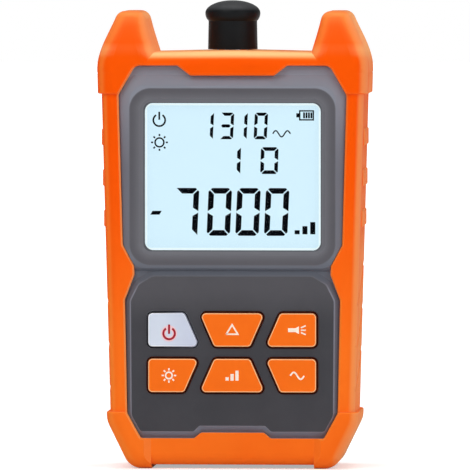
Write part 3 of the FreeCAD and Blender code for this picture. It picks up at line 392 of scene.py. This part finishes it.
# ---------------------------------------------------------------- keys, display and the rest
def key_material(name, colour, rim, patch, painted_skirt_shade):
    """Key rubber: painted highlight as a pale rim on the rounding of the face, painted shade as dark
    sides inside the opening.
    """
    made = Finish(name, colour, 0.5, specular=0.15)
    made.mottle(patch, 180.0, 0.35)
    front = made.absolute(made.facing("Y"))
    # Painted highlight on the rounding of the face.
    made.tint(rim, made.spread(front, 0.9995, 0.985, smooth=True))
    # Painted shade on the sides inside the opening.
    made.tint(painted_skirt_shade, made.spread(front, 0.87, 0.8))
    made.rough(500.0, 0.44, 0.56)
    made.grain(6000.0, 0.008 * MM, 0.3)
    return made


def white_key_material():
    """White key that turns bluish towards the right."""
    made = key_material("key_white", srgb(214, 223, 237), srgb(240, 246, 252), srgb(206, 213, 227),
                        srgb(64, 62, 68))
    shade = made.spread(made.axis("X"), power_low.x + 4 * MM, power_high.x, 0.0, 0.7)
    made.tint(srgb(192, 198, 220), shade)
    return made


def lcd_material():
    """Backlit glass, paler along the edge of the window."""
    made = Finish("lcd_glass", srgb(92, 104, 110), 0.3, specular=0.2)
    made.mottle(srgb(98, 110, 116), 30.0, 0.5, detail=2.0)
    rim = beyond_window(made, -LCD_RIM, -LCD_RIM + 0.3 * MM)
    made.tint(srgb(150, 156, 158), rim)
    lit = made.blend(srgb(203, 232, 245), srgb(216, 236, 240), rim)
    made.link(lit, made.shader.inputs["Emission Color"])
    made.shader.inputs["Emission Strength"].default_value = 1.0
    return made


def simple(name, colour, roughness, second, scale=200.0, share=0.5, metallic=0.0,
           specular=0.5, rim=None, rim_radius=0.3 * MM, grain=3000.0, depth=0.01 * MM):
    """Plain solid material: soft patches, if asked a paler rim, varied roughness, fine grain."""
    made = Finish(name, colour, roughness, metallic, specular)
    made.mottle(second, scale, share)
    if rim:
        made.edges(rim, rim_radius, 0.6)
    made.rough(scale * 2.0, roughness * 0.85, min(1.0, roughness * 1.15))
    made.grain(grain, depth, 0.4)
    return made


def clear(name, colour, alpha, roughness=0.03):
    """Clear plastic that is looked through by way of its alpha."""
    made = Finish(name, colour, roughness)
    made.shader.inputs["Alpha"].default_value = alpha
    made.shader.inputs["IOR"].default_value = 1.49
    made.rough(300.0, roughness, roughness * 2.0)
    return made


ORANGE_KEY = key_material("key_orange", srgb(251, 113, 14), srgb(255, 196, 136), srgb(246, 104, 8),
                          srgb(104, 32, 9))
WHITE_KEY = white_key_material()
BOOT = boot_material()
COVER = cover_material()
LCD = lcd_material()

WINDOW = clear("window_clear", srgb(40, 48, 54), 0.03)
LAMP = clear("lamp_clear", srgb(226, 234, 242), 0.55, 0.06)
LAMP.mottle(srgb(210, 220, 232), 400.0, 0.4)

BLACK_RUBBER = simple("black_rubber", srgb(34, 34, 35), 0.72, srgb(44, 44, 45), rim=srgb(70, 70, 70))
# Painted highlights on the dust cap: a paler rim and a paler upper dome.
CAP = simple("cap_rubber", srgb(9, 12, 15), 0.5, srgb(14, 18, 21), scale=260.0, specular=0.14,
             rim=srgb(34, 38, 41), rim_radius=0.5 * MM, grain=3600.0, depth=0.02 * MM)
CAP.tint(srgb(62, 63, 65), CAP.spread(CAP.facing("Z"), 0.3, 0.8, 0.0, 0.75, smooth=True))
WHITE = simple("white_plastic", srgb(232, 233, 230), 0.45, srgb(222, 223, 220), rim=srgb(244, 244, 242))
BOARD = simple("board_laminate", srgb(24, 92, 50), 0.38, srgb(30, 112, 62), scale=500.0, share=0.7,
               rim=srgb(176, 168, 112), rim_radius=0.25 * MM)
BLACK = simple("black_plastic", srgb(33, 33, 35), 0.5, srgb(42, 42, 44), rim=srgb(74, 74, 77))
STEEL = simple("screw_steel", srgb(176, 177, 180), 0.32, srgb(150, 151, 156), metallic=1.0,
               rim=srgb(214, 215, 218), rim_radius=0.15 * MM, scale=900.0)
PORT = simple("port_metal", srgb(202, 203, 206), 0.2, srgb(182, 183, 188), metallic=1.0,
              rim=srgb(232, 233, 235), rim_radius=0.2 * MM, scale=700.0)
CAN = simple("can_metal", srgb(214, 180, 104), 0.24, srgb(198, 160, 84), metallic=1.0, scale=800.0)
CONTACT = simple("contact_metal", srgb(206, 206, 204), 0.28, srgb(186, 186, 186), metallic=1.0,
                 scale=700.0)
CELL = simple("cell_jacket", srgb(42, 50, 66), 0.3, srgb(34, 40, 54), scale=150.0)
INK_DARK = simple("lcd_ink", srgb(2, 3, 8), 0.7, srgb(4, 5, 11), scale=800.0, specular=0.02)
INK_WHITE = simple("legend_white", srgb(255, 240, 222), 0.55, srgb(248, 230, 208), scale=900.0)
INK_RED = simple("legend_red", srgb(168, 24, 44), 0.55, srgb(150, 16, 36), scale=900.0, specular=0.2)
INK_PINK = simple("legend_pink", srgb(242, 206, 212), 0.55, srgb(238, 196, 204), scale=900.0)

DRESS = {
    "protective_boot": BOOT, "front_cover": COVER, "back_cover": COVER, "battery_door": COVER,
    "display_window": WINDOW, "display_gasket": BLACK_RUBBER,
    "lcd_panel": LCD, "backlight_panel": WHITE,
    "display_connector": BLACK_RUBBER, "main_board": BOARD,
    "key_switches": BLACK, "board_chips": BLACK,
    "housing_screws": STEEL, "board_screws": STEEL,
    "port_adapter": PORT, "port_nut": PORT, "detector_can": CAN,
    "detector_holder": BLACK, "detector_board": BOARD, "dust_cap": CAP,
    "torch_led": LAMP, "torch_leads": CONTACT,
    "battery_contacts_upper": CONTACT, "battery_contacts_lower": CONTACT,
}
for index in (1, 2, 3):
    DRESS["battery_cell_%d" % index] = CELL
for key in KEYS:
    DRESS["key_" + key] = WHITE_KEY if key == "power" else ORANGE_KEY
    DRESS["plunger_" + key] = WHITE

for name, thing in nodes.items():
    thing.data.materials.clear()
    thing.data.materials.append(DRESS[name].material)


# ---------------------------------------------------------------- flat artwork
def prism(name, outlines, y_front, y_back, finish, body):
    """One thin piece made of upright prisms over (x, z) outlines in millimetres."""
    vertices = []
    faces = []
    for outline in outlines:
        start = len(vertices)
        count = len(outline)
        for y in (y_front, y_back):
            vertices += [(x * MM, y, z * MM) for x, z in outline]
        front = list(range(start, start + count))
        faces.append(front)
        faces.append([index + count for index in reversed(front)])
        for i in range(count):
            j = (i + 1) % count
            faces.append((start + j, start + i, start + count + i, start + count + j))
    mesh = bpy.data.meshes.new(name)
    mesh.from_pydata(vertices, [], faces)
    mesh.materials.append(finish.material)
    mesh.validate()
    made = bpy.data.objects.new(name, mesh)
    bpy.context.scene.collection.objects.link(made)
    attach(made, body)


def bar(left, low, right, high):
    """Upright rectangle."""
    return [(left, low), (right, low), (right, high), (left, high)]


def ring(x, z, radius, width, start=0.0, stop=360.0, steps=40):
    """Four-cornered pieces of a ring, angles in degrees from the right."""
    inner = radius - width / 2
    outer = radius + width / 2
    angles = [math.radians(start + (stop - start) * i / steps) for i in range(steps + 1)]
    pieces = []
    for a, b in zip(angles, angles[1:]):
        pieces.append([(x + inner * math.cos(a), z + inner * math.sin(a)),
                       (x + outer * math.cos(a), z + outer * math.sin(a)),
                       (x + outer * math.cos(b), z + outer * math.sin(b)),
                       (x + inner * math.cos(b), z + inner * math.sin(b))])
    return pieces


MITRE_LIMIT = 0.3


def stroke(points, width):
    """A polyline drawn with a pen of one width, as one outline with mitred bends."""
    left = []
    right = []
    for i, point in enumerate(points):
        here = Vector(point)
        before = Vector(points[i - 1]) if i else None
        after = Vector(points[i + 1]) if i + 1 < len(points) else None
        first = (here - before).normalized() if before else (after - here).normalized()
        second = (after - here).normalized() if after else first
        middle = (first + second).normalized()
        side = Vector((-middle.y, middle.x)) * (width / 2 / max(MITRE_LIMIT, middle.dot(first)))
        left.append(tuple(here + side))
        right.append(tuple(here - side))
    return [right + left[::-1]]


def clipped(outline, a, b, c):
    """The part of a convex outline where a*x + b*z >= c."""
    kept = []
    for i, here in enumerate(outline):
        there = outline[(i + 1) % len(outline)]
        near = a * here[0] + b * here[1] - c
        far = a * there[0] + b * there[1] - c
        if near >= 0:
            kept.append(here)
        if near * far < 0:
            share = near / (near - far)
            kept.append((here[0] + (there[0] - here[0]) * share,
                         here[1] + (there[1] - here[1]) * share))
    return kept


# lit segments of the figures that are drawn, a to g as on any seven-segment display
LIT = {"0": "abcdef", "1": "bc", "3": "abgcd", "7": "abc"}
TIP_REACH = 0.75
FOOT_SLOPE = 0.6


def end_segment(lit, left, right, width, height, pen, gap, chamfer):
    """Top bar of a figure, cut at 45 degrees at both ends and chamfered beside lit uprights."""
    piece = bar(0, height / 2, width, height)
    piece = clipped(piece, 0, 1, height - pen)
    piece = clipped(piece, 1, 1, height + gap)
    piece = clipped(piece, -1, 1, height - width + gap)
    if left in lit:
        piece = clipped(piece, 1, -1, chamfer - height)
    if right in lit:
        piece = clipped(piece, -1, -1, chamfer - height - width)
    return piece


def middle_segment(width, height, pen, gap):
    """Middle bar of a figure, pointed at both ends and short of the uprights at its right."""
    half = height / 2
    piece = bar(0, half - pen / 2, width, half + pen / 2)
    for way in (1, -1):
        piece = clipped(piece, 1, way, gap + way * half)
        piece = clipped(piece, -1, way, pen * TIP_REACH + gap - width + way * half)
    return piece


def side_segment(lit, neighbour, height, pen, gap, chamfer):
    """Upper left upright of a figure, chamfered where its neighbouring bar is lit."""
    piece = bar(0, height / 2, pen, height)
    piece = clipped(piece, -1, -1, gap - height)
    piece = clipped(piece, -FOOT_SLOPE, 1, height / 2 + gap)
    if neighbour in lit:
        piece = clipped(piece, 1, -1, chamfer - height)
    return piece


def digit(figure, x, z, width, height, pen, gap, chamfer, lean):
    """Seven-segment figure with its lower left corner at (x, z)."""
    lit = LIT[figure]
    pieces = []
    for name in lit:
        if name == "a":
            piece = end_segment(lit, "f", "b", width, height, pen, gap, chamfer)
        elif name == "d":
            piece = end_segment(lit, "e", "c", width, height, pen, gap, chamfer)
        elif name == "g":
            piece = middle_segment(width, height, pen, gap)
        else:
            neighbour = "d" if name in "ec" else "a"
            piece = side_segment(lit, neighbour, height, pen, gap, chamfer)
        if name in "bc":
            piece = [(width - px, pz) for px, pz in reversed(piece)]
        if name in "dec":
            piece = [(px, height - pz) for px, pz in reversed(piece)]
        pieces.append([(x + px + lean * pz, z + pz) for px, pz in piece])
    return pieces


def number(text, x, z, pitch, **style):
    """Row of figures; a 1 stands nearer the middle of its place."""
    made = []
    for place, figure in enumerate(text):
        inset = style["width"] / 4 if figure == "1" else 0.0
        made += digit(figure, x + place * pitch - inset, z, **style)
    return made


def minus_sign(x, z, width, height, slant):
    """Short bar with slanted ends, its lower left corner at (x, z)."""
    return [[(x, z), (x + width, z), (x + width + slant, z + height), (x + slant, z + height)]]


def shifted(outlines, x, z):
    """Outlines moved by (x, z)."""
    return [[(px + x, pz + z) for px, pz in outline] for outline in outlines]


def middle_of(low, high):
    """Middle of a box of the frame as seen from the front, in millimetres."""
    return (low.x + high.x) / 2 / MM, (low.z + high.z) / 2 / MM


def power_symbol(x, z, radius, pen, bar_low, bar_high):
    """Ring that is open at the top, with a bar in the opening."""
    half_opening = 32
    arc = ring(x, z, radius, pen, 90 + half_opening, 450 - half_opening, 36)
    return arc + [bar(x - pen / 2, z + bar_low, x + pen / 2, z + bar_high)]


def sun_symbol(x, z, radius, pen, ray_from, ray_to):
    """Ring with eight rays."""
    made = ring(x, z, radius, pen)
    middle = Vector((x, z))
    for turn in range(8):
        angle = math.radians(45 * turn)
        along = Vector((math.cos(angle), math.sin(angle)))
        made += stroke([tuple(middle + along * ray_from), tuple(middle + along * ray_to)], pen)
    return made


def wave_symbol(x, z, length, rise, pen, periods):
    """Sine wave drawn with a pen."""
    steps = 24
    points = []
    for i in range(steps + 1):
        share = i / steps
        points.append((x + (share - 0.5) * length,
                       z + rise * math.sin(2 * math.pi * periods * share)))
    return stroke(points, pen)


def bars_symbol(x, z, width, height):
    """Three bars that rise to the right."""
    count = 3
    gap_share = 0.35
    pitch = width / (count - gap_share)
    low = z - height / 2
    made = []
    for i in range(count):
        left = x - width / 2 + i * pitch
        made.append(bar(left, low, left + pitch * (1 - gap_share), low + height * (i + 1) / count))
    return made


def torch_symbol(x, z, length, pen):
    """Hand torch lying on its side with three rays ahead of it."""
    tail = x - length / 2
    neck = tail + 0.42 * length
    face = neck + 0.2 * length
    grip = 0.11 * length
    rim = 0.22 * length
    made = [bar(tail, z - grip, neck, z + grip),
            [(neck, z - grip), (face, z - rim), (face, z + rim), (neck, z + grip)]]
    for way in (-1, 0, 1):
        made += stroke([(face + 0.11 * length, z + way * 0.6 * rim),
                        (x + length / 2, z + way * 1.15 * rim)], pen)
    return made


def battery_symbol(x, z, width, height, pen):
    """Battery lying on its side: frame, terminal at the left and four charge bars.

    The frame has five places, and the one beside the terminal is empty.
    """
    left = x - width / 2
    right = x + width / 2
    low = z - height / 2
    high = z + height / 2
    made = [bar(left, low, right, low + pen),
            bar(left, high - pen, right, high),
            bar(left, low, left + pen, high),
            bar(right - pen, low, right, high),
            bar(left - 2 * pen, z - height / 5, left, z + height / 5)]
    places = 5
    cell = (width - 2 * pen) / places
    inset = 1.6 * pen
    margin = 0.12 * cell
    for i in range(1, places):
        start = left + pen + i * cell + margin
        made.append(bar(start, low + inset, start + cell - 2 * margin, high - inset))
    return made


# the display, drawn about the middle of the window
LARGE = dict(width=6.12, height=12.45, pen=1.46, gap=0.2, chamfer=0.95, lean=0.045)
SMALL = dict(width=3.45, height=6.95, pen=0.84, gap=0.13, chamfer=0.5, lean=0.05)
MEDIUM = dict(width=4.6, height=7.0, pen=0.96, gap=0.15, chamfer=0.6, lean=0.03)
LARGE_FOOT = -15.42

reading = number("000", x=-6.9, z=LARGE_FOOT, pitch=7.49, **LARGE)
reading += digit("7", x=-15.45, z=LARGE_FOOT, **LARGE)
reading += minus_sign(x=-21.6, z=-9.95, width=2.4, height=1.0, slant=0.6)
icons = power_symbol(-19.25, 14.7, radius=1.55, pen=0.46, bar_low=0.1, bar_high=2.2)
icons += sun_symbol(-19.2, 8.9, radius=1.15, pen=0.42, ray_from=1.65, ray_to=2.2)
icons += battery_symbol(19.2, 16.0, width=3.9, height=2.7, pen=0.36)
icons += wave_symbol(12.7, 11.2, length=4.6, rise=0.8, pen=0.34, periods=1.5)
icons += bars_symbol(18.8, -13.4, width=5.4, height=3.2)
DISPLAY = {
    "display_reading": reading,
    "display_upper_number": number("1310", x=-7.85, z=9.75, pitch=4.41, **SMALL),
    "display_middle_number": number("10", x=-1.55, z=0.7, pitch=8.65, **MEDIUM),
    "display_icons": icons,
}

INK_THICKNESS = 0.04 * MM
lcd_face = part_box("lcd_panel")[0].y
window_middle = middle_of(window_low, window_high)
for name, drawing in DISPLAY.items():
    prism(name, shifted(drawing, *window_middle), lcd_face - INK_THICKNESS, lcd_face, INK_DARK,
          "case")

# the legends, each drawn about the middle of its key
POWER_X = -0.85
POWER_Z = -0.95
POWER_RADIUS = 1.5
HALO_WIDTH = 1.25
LEGENDS = {
    "power": power_symbol(POWER_X, POWER_Z, POWER_RADIUS, pen=0.56, bar_low=-0.1, bar_high=2.35),
    "ref": stroke([(-1.5, -1.1), (0.0, 1.35), (1.5, -1.1), (-1.5, -1.1)], 0.4),
    "torch": torch_symbol(1.3, 0.0, length=4.6, pen=0.36),
    "light": sun_symbol(-0.9, 0.0, radius=0.85, pen=0.4, ray_from=1.3, ray_to=1.9),
    "db": bars_symbol(0.0, 0.0, width=3.4, height=2.6),
    "wavelength": wave_symbol(1.4, 0.0, length=3.6, rise=0.9, pen=0.42, periods=1.0),
}
LEGEND_THICKNESS = 0.03 * MM
HALO_THICKNESS = 0.01 * MM
halo = shifted(ring(POWER_X, POWER_Z, POWER_RADIUS, HALO_WIDTH), *middle_of(power_low, power_high))
prism("legend_power_ground", halo, power_low.y - HALO_THICKNESS, power_low.y, INK_PINK,
      "power_key")
for key, drawing in LEGENDS.items():
    low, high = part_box("key_" + key)
    colour = INK_RED if key == "power" else INK_WHITE
    prism("legend_" + key, shifted(drawing, *middle_of(low, high)), low.y - LEGEND_THICKNESS, low.y,
          colour, key + "_key")


# ---------------------------------------------------------------- floor, light and camera
def floor_material():
    """White that takes the object's shadow near it and is seen as full white farther away."""
    near = 0.3
    far = 1.2
    glow_near = 0.42
    made = Finish("studio_floor", srgb(240, 240, 241), 0.9)
    path = made.node("ShaderNodeLightPath")
    seen = made.maths("MAXIMUM", path.outputs["Is Camera Ray"], path.outputs["Is Glossy Ray"])
    seen = made.maths("MAXIMUM", seen, path.outputs["Is Transmission Ray"])
    squares = [made.maths("POWER", made.axis(letter), 2.0) for letter in "XY"]
    away = made.maths("POWER", made.maths("ADD", *squares), 0.5)
    strength = made.product(seen, made.spread(away, near, far, glow_near, 1.0, smooth=True))
    made.shader.inputs["Emission Color"].default_value = (1.0, 1.0, 1.0, 1.0)
    made.link(strength, made.shader.inputs["Emission Strength"])
    made.mottle(srgb(236, 236, 238), 3.0, 0.3)
    return made


def build_floor():
    """Flat floor far wider than the object."""
    reach = 6.0
    corners = [(-reach, -reach, 0.0), (reach, -reach, 0.0), (reach, reach, 0.0), (-reach, reach, 0.0)]
    mesh = bpy.data.meshes.new("studio_floor")
    mesh.from_pydata(corners, [], [(0, 1, 2, 3)])
    mesh.materials.append(floor_material().material)
    made = bpy.data.objects.new("studio_floor", mesh)
    bpy.context.scene.collection.objects.link(made)


# the middle of the object, which every lamp faces
CENTRE = (0.0, 0.0, 0.06)


def area_light(name, place, size, power):
    """Rectangular lamp that faces the object, sizes in metres and power in watts."""
    data = bpy.data.lights.new(name, "AREA")
    data.shape = "RECTANGLE"
    data.size = size[0]
    data.size_y = size[1]
    data.energy = power
    made = bpy.data.objects.new(name, data)
    made.location = place
    made.rotation_euler = (Vector(CENTRE) - Vector(place)).to_track_quat("-Z", "Y").to_euler()
    bpy.context.scene.collection.objects.link(made)


def build_world(strength):
    """White surroundings: full white for the camera, dimmer as a light."""
    world = bpy.data.worlds.new("studio_world")
    bpy.context.scene.world = world
    world.use_nodes = True
    tree = world.node_tree
    background = tree.nodes["Background"]
    background.inputs["Color"].default_value = (1.0, 1.0, 1.0, 1.0)
    path = tree.nodes.new("ShaderNodeLightPath")
    mapper = tree.nodes.new("ShaderNodeMapRange")
    mapper.inputs["To Min"].default_value = strength
    mapper.inputs["To Max"].default_value = 1.0
    tree.links.new(path.outputs["Is Camera Ray"], mapper.inputs["Value"])
    tree.links.new(mapper.outputs["Result"], background.inputs["Strength"])


def build_camera(azimuth, elevation, distance, aim, width):
    """Long lens that looks at aim and sees that width across the frame."""
    sensor = 36.0
    data = bpy.data.cameras.new("camera")
    data.sensor_width = sensor
    data.lens = sensor * distance / width
    data.clip_end = 30.0
    made = bpy.data.objects.new("camera", data)
    turn = math.radians(azimuth)
    rise = math.radians(elevation)
    away = Vector((math.sin(turn) * math.cos(rise), -math.cos(turn) * math.cos(rise),
                   math.sin(rise)))
    made.location = Vector(aim) + away * distance
    made.rotation_euler = (-away).to_track_quat("-Z", "Y").to_euler()
    bpy.context.scene.collection.objects.link(made)
    bpy.context.scene.camera = made


build_floor()
build_world(strength=0.34)
area_light("key_light", place=(-0.55, -1.1, 1.0), size=(0.9, 0.9), power=8.0)
area_light("fill_light", place=(0.9, -0.9, 0.55), size=(0.8, 0.9), power=4.5)
area_light("top_light", place=(0.0, 0.1, 1.2), size=(0.9, 0.6), power=6.5)
build_camera(azimuth=3.5, elevation=2.0, distance=2.6, aim=(-0.00018, 0.0, 0.06057), width=0.1231)
bpy.context.scene.view_settings.view_transform = "Standard"
